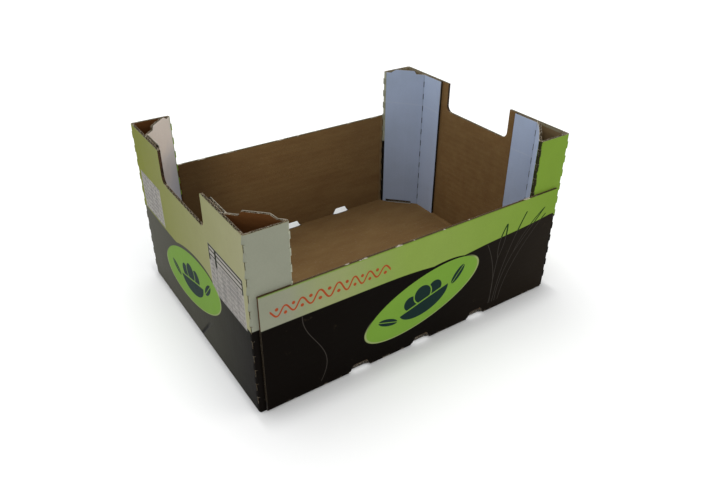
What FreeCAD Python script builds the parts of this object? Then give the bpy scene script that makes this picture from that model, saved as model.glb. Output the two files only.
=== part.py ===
"""Stacking tray of corrugated board, folded and glued from one die-cut blank.

Millimetres, +Z up, origin on the resting plane at the centre of the footprint. X runs along the side
panels. The four corners are alike: the end panel's wing turns the corner, lies against the side panel,
folds back across the corner and ends in a strip glued to the end panel, which leaves a hollow post.
"""
import math
import os

import FreeCAD
import Part

V = FreeCAD.Vector

# Overall
LENGTH = 400.0            # outside, over the end panels
WIDTH = 300.0             # outside, over the side panels
SIDE_HEIGHT = 140.0       # side panels
END_HEIGHT = 167.0        # end panels between their posts
POST_HEIGHT = 205.0       # posts, without the stacking tabs

# Board
BOARD = 3.2               # caliper
LINER = 0.45              # each face sheet
MEDIUM = 0.6              # fluted sheet between them
FLUTE_PITCH = 7.8
FLUTE_DEPTH = 9.0         # how far the open flutes run in from a raw edge
CREASE_RADIUS = 3.0       # outside of every fold

# Panels and posts
SIDE_SETBACK = 8.0        # from the end panel's face to the raw end of a side panel
NOTCH_WIDTH = 113.0       # opening between the two posts of an end panel
NOTCH_RADIUS = 9.0
WING_REACH = 45.0         # from the end panel's face to the fold at the wing's far edge
STRIP_WIDTH = 35.0        # strip glued to the end panel

# Stacking tab on the fold-back panel, measured along it from its foot, and its slot in the floor
TAB_START = 11.5
TAB_END = 46.5
TAB_HEIGHT = 4.5
TAB_STEEP_RUN = 2.5       # run of the side next to the foot
TAB_GENTLE_RUN = 6.5      # run of the side next to the wing
TAB_RADIUS = 2.0
SLOT_CLEARANCE = 2.0      # around the tab

# Half windows across the creases between floor and side panels
WINDOWS = 3
WINDOW_PITCH = 82.0
WINDOW_WIDTH = 28.0
WINDOW_TOP_WIDTH = 17.0
WINDOW_HEIGHT = 10.5
WINDOW_DEPTH = 5.5
WINDOW_RADIUS = 3.0

# Perforations along the upright folds; beside each cut the board stands sharp, between them it is drawn round
CUT_LENGTH = 8.0
CUT_PITCH = 17.5
CUT_WIDTH = 1.4
CUT_DEPTH = 2.4
APEX_STAND = 0.6          # how far the board stands out of the far fold at a cut
FACET = 30.0              # degrees of bend to each flat of a drawn fold

HALF_LENGTH = LENGTH / 2
HALF_WIDTH = WIDTH / 2
WING_FACE = HALF_WIDTH - BOARD            # printed face of the wings, on the side panel's inner face
SIDE_END = HALF_LENGTH - SIDE_SETBACK
STRIP_FACE = HALF_LENGTH - 2 * BOARD      # printed face of the glued strips
CLEAR = 1.0                               # how far a cutting tool stands out of the board

# The fold-back panel crosses the corner at half a right angle
HALF_FOLD = math.radians(22.5)
DIAGONAL = math.sqrt(0.5)
APEX_OVERHANG = CREASE_RADIUS / math.sin(HALF_FOLD) - CREASE_RADIUS
APEX_X = HALF_LENGTH - WING_REACH - APEX_OVERHANG * math.cos(HALF_FOLD)
FOOT_Y = WING_FACE - (STRIP_FACE - APEX_X)
STRIP_END_Y = FOOT_Y - STRIP_WIDTH


def outline(corners):
    """Closed wire through (point, radius) corners, each rounded by its radius."""
    edges, joins = [], []
    for i, (point, radius) in enumerate(corners):
        before = (corners[i - 1][0] - point).normalize()
        after = (corners[(i + 1) % len(corners)][0] - point).normalize()
        if radius == 0:
            joins.append((point, point))
            continue
        half = before.getAngle(after) / 2
        run = radius / math.tan(half)
        start, end = point + before * run, point + after * run
        inwards = (before + after).normalize()
        middle = point + inwards * (radius / math.sin(half) - radius)
        joins.append((start, end))
        edges.append(Part.Arc(start, middle, end).toShape())
    for i, (start, _) in enumerate(joins):
        edges.append(Part.makeLine(joins[i - 1][1], start))
    return Part.Wire(Part.sortEdges(edges)[0])


def prism(corners, sweep):
    return Part.Face(outline(corners)).extrude(sweep)


def box(low, high):
    size = high - low
    return Part.makeBox(size.x, size.y, size.z, low)


def mirrored(shapes):
    """The shapes of one corner at all four corners."""
    origin = V(0, 0, 0)
    pair = shapes + [s.mirror(origin, V(1, 0, 0)) for s in shapes]
    return pair + [s.mirror(origin, V(0, 1, 0)) for s in pair]


def at_diagonal(along, z, thickness=0.0):
    """A point on the fold-back panel's printed face, or that deep in its board."""
    across = thickness * DIAGONAL
    return V(STRIP_FACE - along * DIAGONAL + across, FOOT_Y + along * DIAGONAL + across, z)


# Quarter of the standing walls: half an end panel with its wing, fold-back panel and glued strip
def corner_walls():
    near, far, foot = folds()
    stand = (APEX_OVERHANG - APEX_STAND) / math.cos(HALF_FOLD)
    plan = [
        V(HALF_LENGTH, 0, 0), near[0], far[0] + far[1] * stand, far[0] + far[2] * stand, foot[0],
        V(STRIP_FACE, STRIP_END_Y, 0), V(HALF_LENGTH - BOARD, STRIP_END_Y, 0), V(HALF_LENGTH - BOARD, 0, 0),
    ]
    inner_x, inner_y = HALF_LENGTH - BOARD, WING_FACE - BOARD
    reach = inner_x + inner_y - (STRIP_FACE + FOOT_Y + BOARD / DIAGONAL)
    hollow = [V(inner_x, inner_y, 0), V(inner_x - reach, inner_y, 0), V(inner_x, inner_y - reach, 0)]
    face = Part.Face([outline([(p, 0) for p in loop]) for loop in (plan, hollow)])
    face.validate()
    walls = face.extrude(V(0, 0, POST_HEIGHT)).fuse(stacking_tab())
    drawn = [drawn_fold(fold, low, high) for fold in (near, far) for low, high in uncut_heights()]
    cuts = [perforation(fold, low) for fold in (near, far, foot) for low in cut_heights()]
    return walls.cut([end_notch()] + drawn + cuts)


def folds():
    """Corner, far fold and foot of a post, each as its sharp point and the directions of its two faces."""
    wing, diagonal = V(1, 0, 0), V(DIAGONAL, -DIAGONAL, 0)
    near = (V(HALF_LENGTH, WING_FACE, 0), V(0, -1, 0), V(-1, 0, 0), 0.0)
    far = (V(APEX_X, WING_FACE, 0), wing, diagonal, APEX_OVERHANG - APEX_STAND)
    foot = (V(STRIP_FACE, FOOT_Y, 0), V(0, 1, 0), wing, 0.0)
    return near, far, foot


def cut_heights():
    count = int((POST_HEIGHT - BOARD - CUT_LENGTH) // CUT_PITCH)
    first = (POST_HEIGHT + BOARD - (count - 1) * CUT_PITCH - CUT_LENGTH) / 2
    return [first + i * CUT_PITCH for i in range(count)]


def uncut_heights():
    ends = [-CLEAR] + [low + CUT_LENGTH for low in cut_heights()]
    starts = cut_heights() + [POST_HEIGHT + TAB_HEIGHT + CLEAR]
    return list(zip(ends, starts))


def drawn_fold(fold, low, high):
    """What a fold's rounding leaves out of its sharp point, between two heights."""
    point, first, last, _ = fold
    half = first.getAngle(last) / 2
    bisector = (first + last).normalize()
    centre = point + bisector * (CREASE_RADIUS / math.sin(half))
    spokes = [point + side * (CREASE_RADIUS / math.tan(half)) - centre for side in (first, last)]
    sweep = spokes[0].getAngle(spokes[1])
    count = max(2, round(math.degrees(sweep) / FACET))
    rim = []
    for i in range(count + 1):
        share = i / count
        spoke = spokes[0] * math.sin((1 - share) * sweep) + spokes[1] * math.sin(share * sweep)
        rim.append(centre + spoke.normalize() * CREASE_RADIUS)
    outside = [rim[-1] + spokes[1].normalize() * CLEAR, point - bisector * CLEAR, rim[0] + spokes[0].normalize() * CLEAR]
    lift = V(0, 0, low)
    return prism([(p + lift, 0) for p in rim + outside], V(0, 0, high - low))


def perforation(fold, low):
    """Cut that has opened to a narrow groove in the fold."""
    point, first, last, recess = fold
    inwards = (first + last).normalize()
    aside = V(-inwards.y, inwards.x, 0) * (CUT_WIDTH / 2)
    mouth, tip = point + inwards * (recess - CLEAR), point + inwards * (recess + CUT_DEPTH)
    lift = V(0, 0, low)
    return prism([(p + lift, 0) for p in (mouth - aside, tip, mouth + aside)], V(0, 0, CUT_LENGTH))


def stacking_tab():
    top = POST_HEIGHT + TAB_HEIGHT
    root = POST_HEIGHT - BOARD
    corners = [
        (at_diagonal(TAB_START, root), 0), (at_diagonal(TAB_START, POST_HEIGHT), 0),
        (at_diagonal(TAB_START + TAB_STEEP_RUN, top), TAB_RADIUS),
        (at_diagonal(TAB_END - TAB_GENTLE_RUN, top), 2 * TAB_RADIUS),
        (at_diagonal(TAB_END, POST_HEIGHT), 0), (at_diagonal(TAB_END, root), 0),
    ]
    return prism(corners, V(BOARD * DIAGONAL, BOARD * DIAGONAL, 0))


def end_notch():
    x, half, top = HALF_LENGTH - 2 * BOARD, NOTCH_WIDTH / 2, POST_HEIGHT + CLEAR
    corners = [
        (V(x, -half, top), 0), (V(x, -half, END_HEIGHT), NOTCH_RADIUS),
        (V(x, half, END_HEIGHT), NOTCH_RADIUS), (V(x, half, top), 0),
    ]
    return prism(corners, V(2 * BOARD + CLEAR, 0, 0))


# Lengthwise section of the floor, with the creases up to the end panels
def rounded_hull():
    x, r, top = HALF_LENGTH, CREASE_RADIUS, POST_HEIGHT + TAB_HEIGHT + CLEAR
    corners = [
        (V(-x, -WING_FACE, top), 0), (V(-x, -WING_FACE, 0), r), (V(x, -WING_FACE, 0), r), (V(x, -WING_FACE, top), 0),
    ]
    return prism(corners, V(0, 2 * WING_FACE, 0))


def side_panel():
    outer, inner, x = HALF_WIDTH, WING_FACE, -SIDE_END
    root = inner - CREASE_RADIUS
    corners = [
        (V(x, outer, SIDE_HEIGHT), 0), (V(x, outer, 0), CREASE_RADIUS), (V(x, root, 0), 0),
        (V(x, root, BOARD), 0), (V(x, inner, BOARD), 0), (V(x, inner, SIDE_HEIGHT), 0),
    ]
    return prism(corners, V(2 * SIDE_END, 0, 0))


def floor():
    x = HALF_LENGTH - CREASE_RADIUS
    return box(V(-x, -WING_FACE, 0), V(x, WING_FACE, BOARD))


# Openings at the foot
def window(x):
    half, half_top = WINDOW_WIDTH / 2, WINDOW_TOP_WIDTH / 2
    y, r = HALF_WIDTH + CLEAR, WINDOW_RADIUS
    in_panel = prism([
        (V(x - half, y, -CLEAR), 0), (V(x - half, y, 0), 0), (V(x - half_top, y, WINDOW_HEIGHT), r),
        (V(x + half_top, y, WINDOW_HEIGHT), r), (V(x + half, y, 0), 0), (V(x + half, y, -CLEAR), 0),
    ], V(0, -BOARD - CLEAR, 0))
    low, inner, deep = -CLEAR, WING_FACE, HALF_WIDTH - WINDOW_DEPTH
    in_floor = prism([
        (V(x - half, y, low), 0), (V(x - half, inner, low), 0), (V(x - half_top, deep, low), 0),
        (V(x + half_top, deep, low), 0), (V(x + half, inner, low), 0), (V(x + half, y, low), 0),
    ], V(0, 0, BOARD + CLEAR))
    return [in_panel, in_floor]


def windows():
    first = -(WINDOWS - 1) / 2
    cuts = [c for i in range(WINDOWS) for c in window((first + i) * WINDOW_PITCH)]
    return cuts + [c.mirror(V(0, 0, 0), V(0, 1, 0)) for c in cuts]


def tab_slot():
    """Slot that takes the tab of the tray below, through the floor and into the panel's foot."""
    start, end = TAB_START - SLOT_CLEARANCE, TAB_END + SLOT_CLEARANCE
    near, far = -SLOT_CLEARANCE, BOARD + SLOT_CLEARANCE
    low = -CLEAR
    corners = [at_diagonal(start, low, near), at_diagonal(end, low, near), at_diagonal(end, low, far),
               at_diagonal(start, low, far)]
    return prism([(p, 0) for p in corners], V(0, 0, CLEAR + TAB_HEIGHT + SLOT_CLEARANCE))


# Open flutes in the raw edges
def flutes(start, end, across, out, rise=0.0):
    """Voids beside the fluted sheet along a raw edge; across points into the board from the start face."""
    along = end - start
    length = along.Length
    along.normalize()
    count = int(length // FLUTE_PITCH)
    lead = (length - count * FLUTE_PITCH) / 2
    core = BOARD - 2 * LINER
    lean = math.atan2(core, FLUTE_PITCH / 2)
    half_base = FLUTE_PITCH / 2 - MEDIUM / 2 / math.sin(lean)
    peak = half_base * math.tan(lean)
    voids = []
    for i in range(2 * count):
        middle = start + along * (lead + (i + 0.5) * FLUTE_PITCH / 2) - out * FLUTE_DEPTH
        face, towards = (LINER, 1) if i % 2 == 0 else (BOARD - LINER, -1)
        foot = middle + across * face
        corners = [foot - along * half_base, foot + along * half_base, foot + across * towards * peak]
        voids.append(prism([(p, 0) for p in corners], out * (FLUTE_DEPTH + rise + CLEAR)))
    return voids


def corner_flutes():
    up, top = V(0, 0, 1), POST_HEIGHT
    notch_side = NOTCH_WIDTH / 2
    fold = 2 * CREASE_RADIUS
    inner_fold = BOARD / math.sin(HALF_FOLD) * math.cos(HALF_FOLD)
    diagonal_end = (STRIP_FACE - APEX_X) / DIAGONAL - inner_fold
    into_diagonal = V(DIAGONAL, DIAGONAL, 0)
    margin = MEDIUM
    post = flutes(V(HALF_LENGTH, notch_side + margin, top), V(HALF_LENGTH, WING_FACE - fold, top), V(-1, 0, 0), up)
    wing = flutes(V(HALF_LENGTH - fold, WING_FACE, top), V(APEX_X + inner_fold, WING_FACE, top), V(0, -1, 0), up)
    diagonal = flutes(at_diagonal(BOARD, top), at_diagonal(diagonal_end, top), into_diagonal, up, TAB_HEIGHT)
    strip = flutes(V(STRIP_FACE, STRIP_END_Y + margin, top), V(STRIP_FACE, FOOT_Y, top), V(1, 0, 0), up)
    side = flutes(V(SIDE_END, HALF_WIDTH, BOARD + margin), V(SIDE_END, HALF_WIDTH, SIDE_HEIGHT - margin),
                  V(0, -1, 0), V(1, 0, 0))
    return post + wing + diagonal + strip + side


def notch_flutes():
    y = NOTCH_WIDTH / 2 - NOTCH_RADIUS
    cuts = flutes(V(HALF_LENGTH, -y, END_HEIGHT), V(HALF_LENGTH, y, END_HEIGHT), V(-1, 0, 0), V(0, 0, 1))
    return cuts + [c.mirror(V(0, 0, 0), V(1, 0, 0)) for c in cuts]


def tray_box():
    corners = mirrored([corner_walls()])
    standing = corners[0].multiFuse(corners[1:]).common(rounded_hull())
    sides = [side_panel(), side_panel().mirror(V(0, 0, 0), V(0, 1, 0))]
    body = standing.multiFuse([floor()] + sides).removeSplitter()
    cuts = windows() + mirrored([tab_slot()] + corner_flutes()) + notch_flutes()
    body = body.cut(cuts)
    return body.Solids[0] if len(body.Solids) == 1 else body


def main():
    os.makedirs("parts", exist_ok=True)
    tray_box().exportStep(os.path.join("parts", "tray_box.step"))


main()
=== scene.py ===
"""Looks of the corrugated tray: printed outside, bleached fold-backs, bare kraft inside, raw cut edges.

Lengths inside the shaders are in millimetres. A panel's u runs from left to right as seen from outside.
"""

import math

import bpy
from mathutils import Euler, Matrix, Vector


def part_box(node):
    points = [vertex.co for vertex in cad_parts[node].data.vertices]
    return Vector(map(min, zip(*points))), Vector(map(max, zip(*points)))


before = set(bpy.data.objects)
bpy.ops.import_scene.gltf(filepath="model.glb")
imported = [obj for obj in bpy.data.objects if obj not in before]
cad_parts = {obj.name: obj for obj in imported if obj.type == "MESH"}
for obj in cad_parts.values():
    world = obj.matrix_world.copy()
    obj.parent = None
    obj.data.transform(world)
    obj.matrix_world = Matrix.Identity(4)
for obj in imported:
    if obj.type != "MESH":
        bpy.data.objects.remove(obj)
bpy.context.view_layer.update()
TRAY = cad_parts["tray_box"]

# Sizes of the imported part, in millimetres
MM = 1000.0
top_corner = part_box("tray_box")[1]
HALF_LENGTH = top_corner.x * MM
HALF_WIDTH = top_corner.y * MM
BOARD = 3.2
LINER = 0.45
CREASE = 3.0
FLUTE_PITCH = 7.8
SIDE_TOP = 140.0
END_TOP = 167.0
POST_TOP = 205.0
NOTCH_HALF = 56.5
WING_REACH = 45.0
SETBACK = 8.0                # of the side panels from the end panels' faces
WINDOW_PITCH = 82.0
WINDOW_REACH = 100.0         # |x| within which the foot windows lie
WING_FACE = HALF_WIDTH - BOARD
WING_END = HALF_LENGTH - WING_REACH
SIDE_END = HALF_LENGTH - SETBACK
STRIP_FACE = HALF_LENGTH - 2 * BOARD
DIAGONAL_SUM = 297.33        # |x| + |y| on the fold-back panels' bleached face

# Places of the print, in millimetres
HORIZON = 102.0              # top of the dark field
WING_HORIZON = HORIZON + 0.5
PRINT_SOFT = 0.6             # over which the dark field's edge blends
FOLD_PRINT = WING_END - 0.2  # |x| up to which the folds' print is torn open
FRINGE = 141.2               # |y| from which the outer print runs round onto the fold-back panels
SIDE_BADGE_AT, SIDE_BADGE_TILT, SIDE_BADGE_HALF = (0.0, 61.0), 0.28, (80.0, 31.0)
END_BADGE_AT, END_BADGE_TILT, END_BADGE_HALF = (-5.0, 73.0), 0.24, (84.0, 34.0)
BADGE_SHADOW_LIFT = 3.4      # how far the badges' drawn shadows stand above them
GARLAND_SPAN = (-182.0, -46.5)
FRAMED_FORM = ((61.0, 138.0), (98.0, 155.0))
PLAIN_FORM = ((-137.0, -74.0), (103.0, 151.0))

# Stalks of the grass: foot, lean, bend, height of the tip and size of the leaf
GRASS_FOOT, LEAF_FOOT = 12.0, 74.0
STALKS = (
    (103.0, -0.02, 0.0014, 117.0, 5.0),
    (107.0, 0.12, 0.0020, 124.0, 0.0),
    (111.0, 0.02, 0.0052, 121.0, 3.2),
    (101.0, 0.22, -0.0042, 99.0, 0.0),
    (116.0, 0.16, 0.0046, 112.0, 0.0),
)

# Colours of the print, linear
LIME = (0.242, 0.342, 0.068)
LIME_DEEP = (0.185, 0.300, 0.034)
OLIVE = (0.185, 0.203, 0.006)
OLIVE_PALE = (0.372, 0.360, 0.205)
PALE = (0.270, 0.278, 0.205)
PALE_WING = (0.277, 0.286, 0.220)
SUNNED = (0.345, 0.350, 0.160)
INK = (0.0030, 0.0018, 0.0010)
INK_FAR = (0.0115, 0.0076, 0.0040)
INK_DUST_AND_SHEEN = (0.074, 0.071, 0.052)
CRUSHED = (0.003, 0.003, 0.003)
BADGE = (0.178, 0.330, 0.043)
BADGE_RIM = (0.30, 0.36, 0.14)
MOTIF = (0.010, 0.026, 0.023)
GARLAND = (0.36, 0.060, 0.020)
FORM_PAPER = (0.40, 0.375, 0.340)
FORM_LINE = (0.115, 0.112, 0.120)
FORM_FRAME = (0.020, 0.022, 0.012)
DARK_GREEN = (0.012, 0.040, 0.006)
LINE_ART = (0.044, 0.038, 0.032)
TORN_DARK_SHADOW = (0.022, 0.018, 0.010)
TORN_PALE = (0.430, 0.440, 0.330)
FRINGE_PALE = (0.300, 0.310, 0.220)

# Colours of the bare board, linear
# The bleached liner: its bluish tone is painted cool light, and the warm tone is the same liner under painted
# warm light
BLEACHED = (0.430, 0.515, 0.690)
BLEACHED_WARM_LIT = (0.750, 0.665, 0.585)
BLEACHED_STAIN = (0.32, 0.39, 0.50)
BLEACHED_PRESSED = (0.62, 0.66, 0.74)
KRAFT = (0.232, 0.144, 0.057)
KRAFT_DARK = (0.175, 0.095, 0.036)
HOLLOW_RED_SHADE = (0.130, 0.044, 0.010)
HOLLOW_DULL = (0.23, 0.165, 0.090)
HOLLOW_LIGHT = (0.30, 0.22, 0.12)
FRAYED = (0.34, 0.32, 0.22)
WINDOW_RIM_SHADE = (0.040, 0.036, 0.032)
FIBRE = (0.46, 0.40, 0.31)

# Colours of the cut edges, linear
RAW = (0.165, 0.125, 0.072)
RAW_DARK = (0.060, 0.034, 0.017)
RAW_RED = (0.110, 0.052, 0.024)
RAW_BLACK = (0.012, 0.008, 0.005)
STREAK = (0.055, 0.024, 0.012)
STREAK_DARK = (0.012, 0.006, 0.004)
EDGE_PALE = (0.420, 0.385, 0.310)
EDGE_PRINT = (0.240, 0.235, 0.130)
EDGE_LIME = (0.115, 0.150, 0.030)
LINER_PALE = (0.38, 0.34, 0.24)
LINER_DARK = (0.16, 0.13, 0.09)
GROOVE_SHADE = (0.095, 0.115, 0.155)
FOOT = (0.032, 0.031, 0.030)

# Roughness and gloss of each face, and the metres that a relief of height 1 stands up
SIDE_FINISH = (0.45, 0.022)
END_FINISH = (0.40, 0.012)
WING_FINISH = (0.45, 0.03)
BLEACHED_FINISH = (0.55, 0.15)
KRAFT_FINISH = (0.8, 0.10)
RAW_FINISH = (0.9, 0.05)
RELIEF = 0.0004

# Light on the backdrop; reaches are in metres
SKY = 0.55
FLOOR_SIZE = 14.0
FLOOR_TONE = 0.90
FLOOR_GLOW = 0.28
NEAR_GLOW = 0.18
CONTACT_REACH = 0.034
GLOW_REACH = 0.30
END_SHARE = 4.5              # how much sooner the floor brightens beyond the tray's ends


# Shader arithmetic
class Field:
    """A number that varies over the surface, held as the output of a shader node."""

    def __init__(self, tree, socket):
        self.tree, self.socket = tree, socket

    def math(self, operation, *others):
        made = self.tree.nodes.new("ShaderNodeMath")
        made.operation = operation
        for slot, value in zip(made.inputs, (self,) + others):
            if isinstance(value, Field):
                self.tree.links.new(value.socket, slot)
            else:
                slot.default_value = value
        return Field(self.tree, made.outputs[0])

    def __add__(self, other):
        return self.math("ADD", other)

    def __sub__(self, other):
        return self.math("SUBTRACT", other)

    def __rsub__(self, other):
        return (self * -1.0) + other

    def __mul__(self, other):
        return self.math("MULTIPLY", other)

    def __truediv__(self, other):
        return self.math("DIVIDE", other)

    __radd__ = __add__

    def abs(self):
        return self.math("ABSOLUTE")

    def sin(self):
        return self.math("SINE")

    def sign(self):
        return self.math("SIGN")

    def min(self, other):
        return self.math("MINIMUM", other)

    def max(self, other):
        return self.math("MAXIMUM", other)

    def under(self, edge=0.0, soft=0.35):
        """1 below the edge and 0 above it, over a soft width."""
        ramp = ((self - edge) / -soft) + 0.5
        return ramp.max(0.0).min(1.0)

    def over(self, edge=0.0, soft=0.35):
        return 1.0 - self.under(edge, soft)

    def ramp(self, start, span):
        """0 at the start, 1 a span further on and level beyond; a negative span runs downward."""
        return ((self - start) / span).max(0.0).min(1.0)

    def bell(self, middle, width):
        """1 in the middle, falling away smoothly on both sides."""
        return (((self - middle) / width) * ((self - middle) / -width)).math("EXPONENT")


def both(*masks):
    out = masks[0]
    for mask in masks[1:]:
        out = out * mask
    return out


def either(*masks):
    out = masks[0]
    for mask in masks[1:]:
        out = out.max(mask)
    return out


def between(value, lowest, highest, soft=0.35):
    return both(value.over(lowest, soft), value.under(highest, soft))


def rectangle(u, z, left, right, bottom, top):
    return both(between(u, left, right), between(z, bottom, top))


def length(a, b):
    return (a * a + b * b).math("SQRT")


def ellipse(a, b, half_a, half_b):
    """Rough distance in millimetres outside an ellipse."""
    return (length(a / half_a, b / half_b) - 1.0) * min(half_a, half_b)


class Surface:
    """A material under construction: its tree, its coordinates in millimetres and its shader."""

    def __init__(self, name):
        self.material = bpy.data.materials.new(name)
        self.material.use_nodes = True
        self.tree = self.material.node_tree
        self.shader = self.tree.nodes["Principled BSDF"]
        coordinates = self.tree.nodes.new("ShaderNodeTexCoord")
        scale = self.tree.nodes.new("ShaderNodeVectorMath")
        scale.operation = "SCALE"
        scale.inputs["Scale"].default_value = MM
        self.tree.links.new(coordinates.outputs["Object"], scale.inputs[0])
        self.point = scale.outputs[0]
        split = self.tree.nodes.new("ShaderNodeSeparateXYZ")
        self.tree.links.new(self.point, split.inputs[0])
        self.x, self.y, self.z = (Field(self.tree, split.outputs[i]) for i in range(3))

    def noise(self, size, detail=2.0, stretch=(1.0, 1.0, 1.0)):
        """Noise from 0 to 1 with features of about the given size in millimetres."""
        mapping = self.tree.nodes.new("ShaderNodeMapping")
        mapping.inputs["Scale"].default_value = [s / size for s in stretch]
        self.tree.links.new(self.point, mapping.inputs["Vector"])
        made = self.tree.nodes.new("ShaderNodeTexNoise")
        made.inputs["Scale"].default_value = 1.0
        made.inputs["Detail"].default_value = detail
        self.tree.links.new(mapping.outputs[0], made.inputs["Vector"])
        return Field(self.tree, made.outputs["Fac"])

    def mix(self, mask, under, over):
        """Colour of over where the mask is 1, of under where it is 0."""
        made = self.tree.nodes.new("ShaderNodeMix")
        made.data_type = "RGBA"
        for slot, value in (("A", under), ("B", over)):
            socket = next(s for s in made.inputs if s.name == slot and s.type == "RGBA")
            if isinstance(value, tuple):
                socket.default_value = (*value, 1.0)
            else:
                self.tree.links.new(value, socket)
        self.tree.links.new(mask.socket, made.inputs["Factor"])
        return next(s for s in made.outputs if s.type == "RGBA")

    def shade(self, colour, factor):
        """The colour times a field."""
        made = self.tree.nodes.new("ShaderNodeVectorMath")
        made.operation = "SCALE"
        self.tree.links.new(colour, made.inputs[0])
        self.tree.links.new(factor.socket, made.inputs["Scale"])
        return made.outputs[0]

    def finish(self, colour, height, roughness, gloss):
        """Connect the colour and the relief, and give the material back."""
        self.tree.links.new(colour, self.shader.inputs["Base Color"])
        self.shader.inputs["Roughness"].default_value = roughness
        self.shader.inputs["Specular IOR Level"].default_value = gloss
        bump = self.tree.nodes.new("ShaderNodeBump")
        bump.inputs["Strength"].default_value = 1.0
        bump.inputs["Distance"].default_value = RELIEF
        self.tree.links.new(height.socket, bump.inputs["Height"])
        self.tree.links.new(bump.outputs[0], self.shader.inputs["Normal"])
        return self.material


# Drawn motifs
def badge_frame(u, z, centre, tilt):
    """Coordinates along and across something tilted."""
    cos, sin = math.cos(tilt), math.sin(tilt)
    along = (u - centre[0]) * cos + (z - centre[1]) * sin
    across = (z - centre[1]) * cos - (u - centre[0]) * sin
    return along, across


def produce_motif(a, b):
    """Bowl with three round fruits between two plain sprigs."""
    bowl_half, bowl_top, fruit_foot, gap = (34.0, 19.0), -2.5, -0.8, 1.6
    bowl = both(ellipse(a, b + 1.0, *bowl_half).under(), b.under(bowl_top))
    left, middle, right = (
        length(a - across, b - up) - radius
        for across, up, radius in ((-17.0, 5.0, 9.0), (0.0, 7.0, 11.0), (17.0, 5.0, 9.0)))
    outer = both(left.min(right).under(), middle.over(gap))
    fruits = both(either(outer, middle.under()), b.over(fruit_foot))
    sprig_away, sprig_tilt, sprig_half, rib = 49.0, 0.6, (13.0, 4.6), 0.45
    sprigs = []
    for side in (-1.0, 1.0):
        p, q = badge_frame(a, b, (side * sprig_away, 1.0), side * sprig_tilt)
        sprigs.append(both(ellipse(p, q, *sprig_half).under(), q.abs().over(rib)))
    return either(bowl, fruits, *sprigs)


def badge(surface, colour, a, b, shape):
    """Oval badge with its motif, and a pale rim that fades upward."""
    rim, fade = 0.9, 12.0
    colour = surface.mix(both(shape.under(), b.under(fade, fade)), colour, BADGE_RIM)
    colour = surface.mix(shape.under(-rim), colour, BADGE)
    return surface.mix(both(produce_motif(a, b), shape.under(-rim)), colour, MOTIF)


def badge_shadow(u, a, b, half, shift, end):
    """Dark drawn shadow behind the upper left of a badge, as far right as its end."""
    return both(ellipse(a + shift, b - BADGE_SHADOW_LIFT, *half).under(), u.under(end))


def garland(u, z):
    """Hand-drawn running wave with a dot in each of its hollows."""
    pitch, swing, half_line, dot, dot_height = 19.0, 6.0, 0.95, 1.9, 3.4
    middle, middle_height, climb = -113.0, 118.0, 0.03
    base = middle_height + (u - middle) * climb + (u / 31.0).sin() * 1.1
    turn = u * (2 * math.pi / pitch) + (u / 13.0).sin() * 0.4
    swell = ((u / 23.0).sin() * 0.14) + 0.86
    wave = turn.sin() * swell * swing + base
    slope = turn.math("COSINE") * swell * (2 * math.pi * swing / pitch)
    stroke = ((z - wave).abs() / (slope * slope + 1.0).math("SQRT")).under(half_line)
    cell = (turn / math.pi).math("FRACT") - 0.5
    dots = length(cell * (pitch / 2), z - base + turn.sin().sign() * dot_height).under(dot)
    return both(either(stroke, dots), between(u, *GARLAND_SPAN))


def blades(u, z):
    """Plain grass in thin curved lines, some ending in a narrow leaf: the fine lines, and the bolder tips."""
    thin_half, bold_half, leaf_scale = 0.42, 1.15, 600.0
    fine, bold = [], []
    for foot, lean, bend, tip, leaf in STALKS:
        rise = z - GRASS_FOOT
        path = rise * lean + rise * rise * bend + foot
        half = ((z - LEAF_FOOT) * (tip - z)).max(0.0) * (leaf / leaf_scale)
        away = ((u - path).abs() - half).abs()
        fine.append(both(away.under(thin_half), between(z, GRASS_FOOT, tip)))
        bold.append(both(away.under(bold_half), z.under(tip)))
    curl_run, curl_swing, curl_place, curl_foot = 21.0, 13.0, 136.0, 9.0
    curl = (z / curl_run).sin() * curl_swing - curl_place
    fine.append(both((u - curl).abs().under(thin_half), between(z, curl_foot, HORIZON + 1.0)))
    return either(*fine), either(*bold)


# Ruled forms
def form(surface, colour, u, z, sides, levels, framed):
    """Pale form of ruled rows and columns, with a dark double frame round its heading if it is framed."""
    (left, right), (bottom, top) = sides, levels
    row_pitch, column_pitch, margin = 5.6, 15.5, 2.0
    inside = rectangle(u, z, left, right, bottom, top)
    row = ((z - bottom) / row_pitch).math("FRACT")
    words = surface.noise(3.0, 1.0, (1.0, 1.0, 0.2)).over(0.47, 0.10)
    body = both(between(row, 0.30, 0.62, 0.12), words) * 0.75
    column = (((u - left) / column_pitch).math("FRACT") - 0.5).abs().over(0.472, 0.02)
    body = either(body, row.under(0.13, 0.05), column * 0.8)
    body = both(body, between(u, left + margin, right - margin))
    colour = surface.mix(inside, colour, FORM_PAPER)
    if not framed:
        return surface.mix(both(inside, body), colour, FORM_LINE)
    head = top - 11.0
    colour = surface.mix(both(inside, body, z.under(head - 3.5)), colour, FORM_LINE)
    return surface.mix(both(inside, heading(u, z, left, right, head, top)), colour, FORM_FRAME)


def heading(u, z, left, right, head, top):
    """Dark bars round the heading of a framed form."""
    inset, bar = 0.3, 2.2
    inner_left, inner_right = left + inset + bar, right - inset - bar
    outer = rectangle(u, z, left + inset, right - inset, head - 1.6, top - inset)
    upper = rectangle(u, z, inner_left, inner_right, head + 5.8, top - inset - bar)
    lower = rectangle(u, z, inner_left, inner_right, head, head + 4.0)
    post = rectangle(u, z, left + 14.5, left + 19.0, head - 10.0, top - inset)
    stub = rectangle(u, z, left + inset, left + 3.4, head - 8.0, head)
    short = rectangle(u, z, right - 3.0, right - inset, head - 6.0, head)
    return either(both(outer, 1.0 - either(upper, lower)), post, stub, short)


# Printed outside
def washboard(across, strength):
    """Faint ribs where the liner has sunk between the flutes."""
    return (across * (2 * math.pi / FLUTE_PITCH)).sin() * strength


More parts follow.
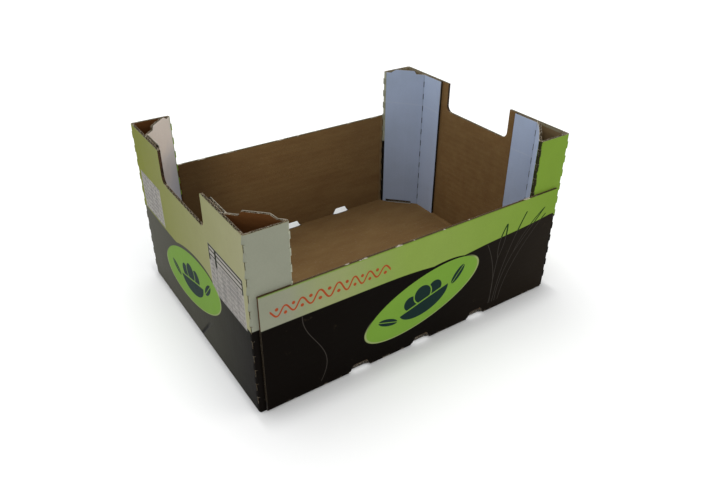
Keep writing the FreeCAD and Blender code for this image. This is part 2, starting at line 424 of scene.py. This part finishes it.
def ink_wear(surface, colour):
    """Fine print mottle, and grain of the paper."""
    mottle = surface.noise(22.0, 3.0) * 0.10 + surface.noise(1.1, 2.0) * 0.12
    return surface.shade(colour, mottle + 0.89)


def scuffed(surface, colour, z):
    """Pale nicks along the foot, and a few faint rubbed marks higher up."""
    patches = surface.noise(9.0, 4.0)
    grain = surface.noise(1.3, 2.0).over(0.50, 0.10)
    colour = surface.mix(both(patches.over(0.72, 0.06), grain) * 0.10, colour, RAW)
    foot = both(z.under(BOARD, 2.0), surface.noise(5.0, 2.0).over(0.60, 0.08))
    return surface.mix(foot * 0.35, colour, FIBRE)


def side_horizon(u):
    """Height of the dark field, level but for a dip right of the middle and a rise at the far end."""
    dip_place, dip_width, dip_depth = 38.0, 44.0, 5.5
    rise_start, rise_run, rise_height = 95.0, 90.0, 6.0
    rise = u.ramp(rise_start, rise_run)
    return HORIZON - u.bell(dip_place, dip_width) * dip_depth + rise * rise * rise_height


def side_band(surface, u, deep):
    """Green band, duller and paler toward its left end, with a sunned patch there."""
    glow_start, glow_run = -196.0, 175.0
    sunned_place, sunned_width = -112.0, 42.0
    glow = 1.0 - u.ramp(glow_start, glow_run)
    green = surface.mix(deep, LIME, LIME_DEEP)
    band = surface.mix(glow * glow * 1.25 + glow * 0.25, green, PALE)
    return surface.mix(u.bell(sunned_place, sunned_width) * 0.45, band, SUNNED)


def printed_side():
    s = Surface("printed side")
    u, z = s.x * s.y.sign() * -1.0, s.z
    deep = u.ramp(20.0, 170.0)
    band = side_band(s, u, deep)
    dark = z.under(side_horizon(u), PRINT_SOFT)
    a, b = badge_frame(u, z, SIDE_BADGE_AT, SIDE_BADGE_TILT)
    half_a, half_b = SIDE_BADGE_HALF
    shape = ellipse(a, b, half_a, half_b)
    shadow = badge_shadow(u, a, b, (half_a - 1.0, half_b), shift=5.0, end=58.0)
    colour = s.mix(either(dark, shadow), band, s.mix(deep, INK, INK_FAR))
    fine, bold = blades(u, z)
    colour = s.mix(both(fine, dark), colour, LINE_ART)
    colour = s.mix(both(bold, 1.0 - dark), colour, DARK_GREEN)
    colour = badge(s, colour, a, b, shape)
    colour = s.mix(garland(u, z), colour, GARLAND)
    colour = s.mix(z.over(SIDE_TOP - 1.2, 0.8) * 0.6, colour, LIME_DEEP)
    colour = scuffed(s, colour, z)
    height = washboard(z, 0.03) + s.noise(1.0) * 0.2 + s.noise(60.0, 2.0) * 2.5
    return s.finish(ink_wear(s, colour), height, *SIDE_FINISH)


def crush_mark(u, z):
    """Short leaning dent that rises from the foot and fades out."""
    foot, lean, slope_length, half_width, fade_height = 1.5, 0.9, 1.35, 1.7, 36.0
    away = ((u - z * lean - foot) / slope_length).abs()
    return both(away.under(half_width, 2.4), between(z, -4.0, fade_height, 14.0))


def printed_end():
    s = Surface("printed end")
    u, z = s.y * s.x.sign(), s.z
    far = u.ramp(HALF_WIDTH, -2 * HALF_WIDTH)
    band = s.mix(far, OLIVE_PALE, OLIVE)
    sag = between(u, -120.0, -30.0, 60.0) * 1.2
    dark = z.under(HORIZON - sag, PRINT_SOFT)
    a, b = badge_frame(u, z, END_BADGE_AT, END_BADGE_TILT)
    shape = ellipse(a, b, *END_BADGE_HALF)
    shadow = badge_shadow(u, a, b, END_BADGE_HALF, shift=3.0, end=66.0)
    # The dark field lightens toward one end and in the middle: partly dust, partly a painted sheen of grazing
    # light
    middle = far * (1.0 - far)
    dust_and_sheen = far * 1.05 + middle * middle * 2.9
    colour = s.mix(either(dark, shadow), band, s.mix(dust_and_sheen, INK, INK_DUST_AND_SHEEN))
    colour = form(s, colour, u, z, *FRAMED_FORM, framed=True)
    colour = form(s, colour, u, z, *PLAIN_FORM, framed=False)
    colour = badge(s, colour, a, b, shape)
    mark = crush_mark(u, z)
    colour = s.mix(mark * 0.9, colour, CRUSHED)
    colour = scuffed(s, colour, z)
    height = washboard(u, 0.02) + s.noise(1.0) * 0.2 + s.noise(60.0, 2.0) * 2.5 - mark * 4.0
    return s.finish(ink_wear(s, colour), height, *END_FINISH)


def printed_wing():
    """Print of the wings and the corner creases, torn where the wings fold back, with painted shadow in the
    dark tears.
    """
    s = Surface("printed wing")
    pale = (s.x * s.y).over(0.0)
    colour = s.mix(pale, LIME_DEEP, PALE_WING)
    torn = s.x.abs().under(FOLD_PRINT + s.noise(4.0, 2.0) * 3.0, 0.5)
    # The dark tears are part torn print, part painted shadow in the perforations
    colour = s.mix(both(torn, 1.0 - pale) * 0.95, colour, TORN_DARK_SHADOW)
    colour = s.mix(both(torn, pale) * 0.75, colour, TORN_PALE)
    colour = s.mix(s.z.under(WING_HORIZON, PRINT_SOFT), colour, INK)
    return s.finish(ink_wear(s, colour), s.noise(1.0) * 0.2, *WING_FINISH)


# Unprinted faces
def bleached_tone(surface, far_left):
    """White with painted cool light, painted warm light high on the far left post, stained, with a fringe of
    the outer print at the fold.
    """
    s = surface
    tone = s.mix(both(far_left, s.z.ramp(60.0, 110.0)), BLEACHED, BLEACHED_WARM_LIT)
    colour = s.mix(s.noise(45.0, 3.0).over(0.60, 0.3) * 0.35, tone, BLEACHED_STAIN)
    fringe = s.mix((s.x * s.y).over(0.0), LIME_DEEP, FRINGE_PALE)
    fringe = s.mix(s.z.under(WING_HORIZON, PRINT_SOFT), fringe, INK)
    return s.mix(s.y.abs().over(FRINGE, 0.5), colour, fringe)


def bleached_painted_light(surface, far_left):
    """Painted light and shade: how much lighter or darker each post's faces are than the others', and darker
    low on the far left post.
    """
    x, y, z = surface.x, surface.y, surface.z
    strip = x.abs().over(STRIP_FACE - 0.5, 0.5)
    right = both(1.0 - strip, x.over(0.0))
    near_right = both(1.0 - strip, x.over(0.0), y.under(0.0))
    painted_light = strip * 0.14 + near_right * 0.22 - right * 0.06
    return painted_light - both(far_left, z.ramp(172.0, -25.0)) * 0.20


def bleached_liner():
    s = Surface("bleached liner")
    far_left = both(s.x.under(0.0), s.y.over(0.0))
    colour = bleached_tone(s, far_left)
    folded = (s.x.abs() - s.y.abs()).abs()
    press_height, press_slope = 163.0, 0.02
    pressed = ((s.z - press_height) + (folded * press_slope)).abs().under(0.9, 1.6)
    colour = s.mix(pressed * 0.2, colour, BLEACHED_PRESSED)
    along = s.noise(30.0, 2.0, (1.0, 1.0, 0.25)) * 0.14
    # Painted shade along the fold between each strip and its fold-back panel
    crease_shade = (s.y.abs() - (DIAGONAL_SUM - STRIP_FACE)).abs().under(0.5, 0.6)
    grain = s.noise(1.4, 3.0) * 0.12 + along
    colour = s.shade(colour, grain + 0.87 + bleached_painted_light(s, far_left) - crease_shade * 0.38)
    height = washboard(folded, 0.05) + s.noise(1.0) * 0.25 + s.noise(40.0, 2.0) * 2.0
    return s.finish(colour, height, *BLEACHED_FINISH)


def hollows(surface, colour):
    """Insides of the posts: painted reddish shade on the left, dull on the right and frayed at the right
    ones' tops.
    """
    s = surface
    hollow = (s.x.abs() + s.y.abs()).over(DIAGONAL_SUM + 2.0, 3.0)
    colour = s.mix(both(hollow, s.x.under(0.0)) * 0.85, colour, HOLLOW_RED_SHADE)
    bare = s.mix(s.noise(20.0, 2.0), HOLLOW_DULL, HOLLOW_LIGHT)
    colour = s.mix(both(hollow, s.x.over(0.0)) * 0.75, colour, bare)
    top = s.z.over(POST_TOP - 2.6, 0.8)
    frayed = both(hollow, s.x.over(0.0), top, s.noise(2.5, 2.0).over(0.40, 0.1))
    return s.mix(frayed * 0.8, colour, FRAYED)


def window_rim_shade(surface, colour, along_floor):
    """Painted shade on the edge of the floor in front of the foot windows."""
    half_share, rim_width = 0.16, 3.5
    cell = ((surface.x / WINDOW_PITCH + 0.5).math("FRACT") - 0.5).abs()
    window = both(cell.under(half_share, 0.05), surface.x.abs().under(WINDOW_REACH))
    rim = both(along_floor, window, surface.y.abs().over(WING_FACE - rim_width, 0.8))
    return surface.mix(rim * 0.85, colour, WINDOW_RIM_SHADE)


def kraft_liner():
    s = Surface("kraft liner")
    flow = s.noise(14.0, 4.0, (0.35, 1.0, 1.0))
    colour = s.mix(flow.over(0.5, 0.8), KRAFT_DARK, KRAFT)
    fleck = s.noise(0.9, 1.0, (0.4, 1.0, 1.0)).over(0.72, 0.08)
    colour = hollows(s, s.mix(fleck * 0.3, colour, FIBRE))
    # Painted light on the right end's inner face, and painted shade on the back panel's left part
    right_end_light = s.x.over(HALF_LENGTH - 3 * BOARD, 1.0) * 0.16
    shaded = both(s.y.over(WING_FACE - 1.0, 0.5), s.x.ramp(-80.0, -50.0)) * 0.44
    colour = s.shade(colour, s.noise(90.0, 1.0) * 0.24 + 0.88 + right_end_light - shaded)
    along_floor = s.z.under(BOARD + 1.0, 0.4)
    colour = window_rim_shade(s, colour, along_floor)
    ribs = washboard(s.y, 0.25) * along_floor + washboard(s.z, 0.12) * (1.0 - along_floor)
    height = ribs + s.noise(0.8) * 0.5 + s.noise(50.0, 2.0) * 2.0
    return s.finish(colour, height, *KRAFT_FINISH)


# Cut edges
def upright_cuts(surface, colour, notch_side, side_panel):
    """Notch sides, strip ends with painted shadow, and the side panels' ends with their outer liner."""
    s, x, y, z = surface, surface.x.abs(), surface.y.abs(), surface.z
    printed = z.over(HORIZON, 1.0)
    streaks = s.noise(1.1, 2.0, (1.0, 1.0, 0.08)).over(0.5, 0.25)
    colour = s.mix(notch_side * 0.9, colour, s.mix(streaks, STREAK, STREAK_DARK))
    # The strips' free ends: cut edge darkened by painted shadow in the gap to the end panel
    strip_from, strip_to = 60.0, 72.0
    on_strip = both(between(y, strip_from, strip_to, 1.0), x.under(HALF_LENGTH - BOARD, 0.2))
    strip_end_shadow = both(on_strip, z.over(BOARD, 0.5))
    colour = s.mix(strip_end_shadow * 0.95, colour, RAW_BLACK)
    end_cut = both(side_panel, x.over(SIDE_END - 10.0, 0.3), z.under(SIDE_TOP - 0.3, 0.3))
    colour = s.mix(end_cut * 0.92, colour, s.mix(printed, RAW_BLACK, RAW_RED))
    liner = both(end_cut, y.over(HALF_WIDTH - LINER - 0.1, 0.2))
    return s.mix(liner * 0.85, colour, s.mix(printed, LINER_DARK, LINER_PALE))


def side_tops(surface, colour, side_panel):
    """Tops of the side panels, green on the outside and nicked."""
    s, y, z = surface, surface.y.abs(), surface.z
    level = both(z.under(SIDE_TOP + 0.5, 0.3), z.over(SIDE_TOP - 0.2, 0.1))
    side_top = both(side_panel, level)
    nicks = both(s.noise(14.0, 2.0).over(0.60, 0.03), s.noise(1.6, 2.0).over(0.42, 0.08))
    colour = s.mix(side_top * 0.9, colour, RAW_DARK)
    colour = s.mix(both(side_top, y.over(HALF_WIDTH - 0.9, 0.3)), colour, EDGE_LIME)
    return s.mix(both(side_top, nicks), colour, EDGE_PALE)


def post_tops(surface, colour, notch_side, side_panel):
    """Tops of the posts and end panels: pale liners, printed outer line, and painted shade in the groove at
    each fold.
    """
    s, x, y, z = surface, surface.x.abs(), surface.y.abs(), surface.z
    total = x + y
    above_notch = z.over(END_TOP + 5.0, 1.0)
    diagonal = both(total.over(DIAGONAL_SUM - 0.3, 0.2), total.under(DIAGONAL_SUM + LINER + 0.6, 0.3))
    colour = s.mix(both(diagonal, above_notch) * 0.9, colour, EDGE_PALE)
    strip_line = both(x.under(STRIP_FACE + LINER + 0.3, 0.3), above_notch, total.under(DIAGONAL_SUM))
    colour = s.mix(strip_line * 0.8, colour, EDGE_PALE)
    wing_top = both(y.over(WING_FACE - LINER - 0.2, 0.3), y.under(WING_FACE + 0.3, 0.2))
    wing_line = both(wing_top, z.over(SIDE_TOP + 5.0, 1.0))
    outer = either(x.over(HALF_LENGTH - LINER - 0.4, 0.3), wing_line)
    top = both(z.over(SIDE_TOP - 0.2, 0.1), 1.0 - notch_side)
    colour = s.mix(both(outer, top, 1.0 - side_panel) * 0.85, colour, EDGE_PRINT)
    by_fold = both((x - STRIP_FACE).abs().under(3.0, 1.0), (total - DIAGONAL_SUM).abs().under(6.0, 1.0))
    groove_shade = both(by_fold, z.under(POST_TOP - 1.0))
    return s.mix(groove_shade * 0.85, colour, GROOVE_SHADE)


def raw_edge():
    """Cut edges: brown fluted sheet between pale liners, with painted shadow where two boards meet and
    painted shade along the foot.
    """
    s = Surface("raw board edge")
    y, z = s.y.abs(), s.z
    fibres, specks = s.noise(1.2, 3.0), s.noise(1.0, 2.0)
    colour = s.mix(fibres.over(0.5, 0.3), RAW, RAW_DARK)
    colour = s.mix(specks.over(0.56, 0.05) * 0.85, colour, EDGE_PALE)
    notch_side = both(y.under(NOTCH_HALF + 0.5, 0.5), z.over(END_TOP + 1.0, 0.5))
    side_panel = y.over(WING_FACE + 0.3, 0.2)
    colour = upright_cuts(s, colour, notch_side, side_panel)
    colour = side_tops(s, colour, side_panel)
    colour = post_tops(s, colour, notch_side, side_panel)
    # Painted shade on the low cut edges of the side panels round the foot windows, flecked with pale fibre
    foot_height, foot_width = 12.0, 8.0
    foot = both(z.under(foot_height, 2.0), y.over(WING_FACE - foot_width, 1.0))
    colour = s.mix(foot * 0.88, colour, FOOT)
    colour = s.mix(both(foot, specks.over(0.60, 0.06)) * 0.5, colour, FIBRE)
    return s.finish(colour, fibres * 1.5, *RAW_FINISH)


# Which material each face takes
NEAR = 0.15                  # millimetres that a face may lie from its plane
SQUARE_ON, SLANTED, ASKEW, TILTED = 0.9, 0.6, 0.1, 0.05


def near(value, place):
    return abs(value - place) < NEAR


def outside_kind(x, y, out_x, out_y):
    """Kind of a face that looks outward, if it is printed."""
    if y > HALF_WIDTH - NEAR and out_y > SQUARE_ON:
        return "side"
    if x > HALF_LENGTH - NEAR and out_x > SQUARE_ON:
        return "end"
    on_corner = x > HALF_LENGTH - CREASE and y > WING_FACE - CREASE and min(out_x, out_y) > ASKEW
    if on_corner or near(y, WING_FACE) and out_y > SQUARE_ON:
        return "wing"
    return None


def upright_kind(x, y, out_x, out_y):
    """Kind of an upright face inside the tray or a post, if it isn't a cut."""
    if near(x + y, DIAGONAL_SUM) and out_x < -SLANTED:
        return "wing" if y > WING_FACE - 2.0 else "bleached"
    by_fold = WING_END - 13.0 < x < WING_END + 5.0 and y > WING_FACE - 8.0
    if by_fold and out_x < -ASKEW and out_y > -SLANTED:
        return "wing"
    if near(x, STRIP_FACE) and out_x < -SQUARE_ON:
        return "bleached"
    across = near(x, HALF_LENGTH - BOARD) and out_x < -SQUARE_ON
    along = (near(y, WING_FACE) or near(y, WING_FACE - BOARD)) and out_y < -SQUARE_ON
    in_post = near(x + y, DIAGONAL_SUM + BOARD * math.sqrt(2)) and out_x > SLANTED
    return "kraft" if across or along or in_post else None


def face_kind(centre, normal):
    """Which face of the board a polygon belongs to."""
    x, y, z = abs(centre.x) * MM, abs(centre.y) * MM, centre.z * MM
    out_x, out_y = normal.x * math.copysign(1, centre.x), normal.y * math.copysign(1, centre.y)
    if normal.z < -SQUARE_ON:
        return "bleached" if z < NEAR else "raw"
    if z < CREASE and abs(normal.z) > TILTED:
        return "side" if out_y > ASKEW else "end"
    kind = outside_kind(x, y, out_x, out_y)
    if not kind and abs(normal.z) < ASKEW:
        kind = upright_kind(x, y, out_x, out_y)
    if not kind and normal.z > SQUARE_ON and near(z, BOARD):
        kind = "kraft"
    return kind or "raw"


def dress(tray):
    made = {
        "side": printed_side(), "end": printed_end(), "wing": printed_wing(),
        "bleached": bleached_liner(), "kraft": kraft_liner(), "raw": raw_edge(),
    }
    tray.data.materials.clear()
    order = list(made)
    for kind in order:
        tray.data.materials.append(made[kind])
    for polygon in tray.data.polygons:
        polygon.material_index = order.index(face_kind(polygon.center, polygon.normal))


# Studio
def seen_directly(tree):
    """1 for rays from the camera and for reflected and refracted rays, so that they meet a white backdrop."""
    path = tree.nodes.new("ShaderNodeLightPath")
    out = Field(tree, path.outputs["Is Camera Ray"])
    for kind in ("Is Glossy Ray", "Is Transmission Ray"):
        out = out.max(Field(tree, path.outputs[kind]))
    return out


def floor_glow(tree):
    """Light that the floor adds of itself, rising with the distance from the tray, so that a darker painted
    shadow lies round the tray.
    """
    coordinates = tree.nodes.new("ShaderNodeTexCoord")
    split = tree.nodes.new("ShaderNodeSeparateXYZ")
    tree.links.new(coordinates.outputs["Object"], split.inputs[0])
    halves = (HALF_LENGTH / MM, HALF_WIDTH / MM)
    beside = [(Field(tree, split.outputs[i]).abs() - half).max(0.0) for i, half in enumerate(halves)]
    away = length(beside[0] * END_SHARE, beside[1])
    contact = away.over(CONTACT_REACH / 2, CONTACT_REACH)
    smooth = contact * contact * (3.0 - contact * 2.0)
    return smooth * NEAR_GLOW + (away / GLOW_REACH).min(1.0) * (FLOOR_GLOW - NEAR_GLOW)


def floor():
    bpy.ops.mesh.primitive_plane_add(size=FLOOR_SIZE, location=(0, 0, 0))
    plane = bpy.context.object
    plane.name = "studio_floor"
    material = bpy.data.materials.new("studio floor")
    material.use_nodes = True
    tree = material.node_tree
    shader = tree.nodes["Principled BSDF"]
    shader.inputs["Base Color"].default_value = (FLOOR_TONE, FLOOR_TONE, FLOOR_TONE, 1.0)
    shader.inputs["Roughness"].default_value = 0.9
    shader.inputs["Specular IOR Level"].default_value = 0.0
    glow = tree.nodes.new("ShaderNodeEmission")
    tree.links.new((seen_directly(tree) * floor_glow(tree)).socket, glow.inputs["Strength"])
    total = tree.nodes.new("ShaderNodeAddShader")
    tree.links.new(shader.outputs[0], total.inputs[0])
    tree.links.new(glow.outputs[0], total.inputs[1])
    tree.links.new(total.outputs[0], tree.nodes["Material Output"].inputs["Surface"])
    plane.data.materials.append(material)


def sky():
    world = bpy.data.worlds.new("studio")
    bpy.context.scene.world = world
    world.use_nodes = True
    tree = world.node_tree
    lighting = tree.nodes["Background"]
    lighting.inputs["Color"].default_value = (0.97, 0.99, 1.0, 1.0)
    lighting.inputs["Strength"].default_value = SKY
    white = tree.nodes.new("ShaderNodeBackground")
    white.inputs["Color"].default_value = (1.0, 1.0, 1.0, 1.0)
    white.inputs["Strength"].default_value = 1.0
    choose = tree.nodes.new("ShaderNodeMixShader")
    tree.links.new(seen_directly(tree).socket, choose.inputs[0])
    tree.links.new(lighting.outputs[0], choose.inputs[1])
    tree.links.new(white.outputs[0], choose.inputs[2])
    tree.links.new(choose.outputs[0], tree.nodes["World Output"].inputs["Surface"])


def lamp(name, toward, spread, strength, colour=(1.0, 1.0, 1.0)):
    """Distant soft light from the given direction; spread is how wide it looks, in degrees."""
    data = bpy.data.lights.new(name, "SUN")
    data.angle, data.energy, data.color = math.radians(spread), strength, colour
    made = bpy.data.objects.new(name, data)
    made.rotation_euler = Vector(toward).to_track_quat("Z", "Y").to_euler()
    bpy.context.scene.collection.objects.link(made)


def camera():
    """The photograph's camera, found by fitting the tray's corners to it."""
    focal_pixels, frame_pixels, sensor = 655.8, 720.0, 36.0
    place = (-0.3780, -0.5809, 0.4880)
    azimuth, elevation, roll = (math.radians(a) for a in (-34.285, 31.867, 0.589))
    data = bpy.data.cameras.new("camera")
    data.sensor_width = sensor
    data.lens = focal_pixels / frame_pixels * sensor
    made = bpy.data.objects.new("camera", data)
    turn = Euler((math.pi / 2 - elevation, 0, azimuth)).to_matrix() @ Matrix.Rotation(roll, 3, "Z")
    made.matrix_world = Matrix.Translation(place) @ turn.to_4x4()
    bpy.context.scene.collection.objects.link(made)
    bpy.context.scene.camera = made


dress(TRAY)
floor()
sky()
lamp("key", (-0.10, 0.30, 1.0), 60.0, 1.15)
lamp("front", (-0.35, -1.0, 0.40), 50.0, 0.50)
lamp("right", (1.0, -0.55, 0.45), 40.0, 0.45, (1.0, 0.92, 0.84))
camera()
bpy.context.scene.view_settings.view_transform = "Standard"
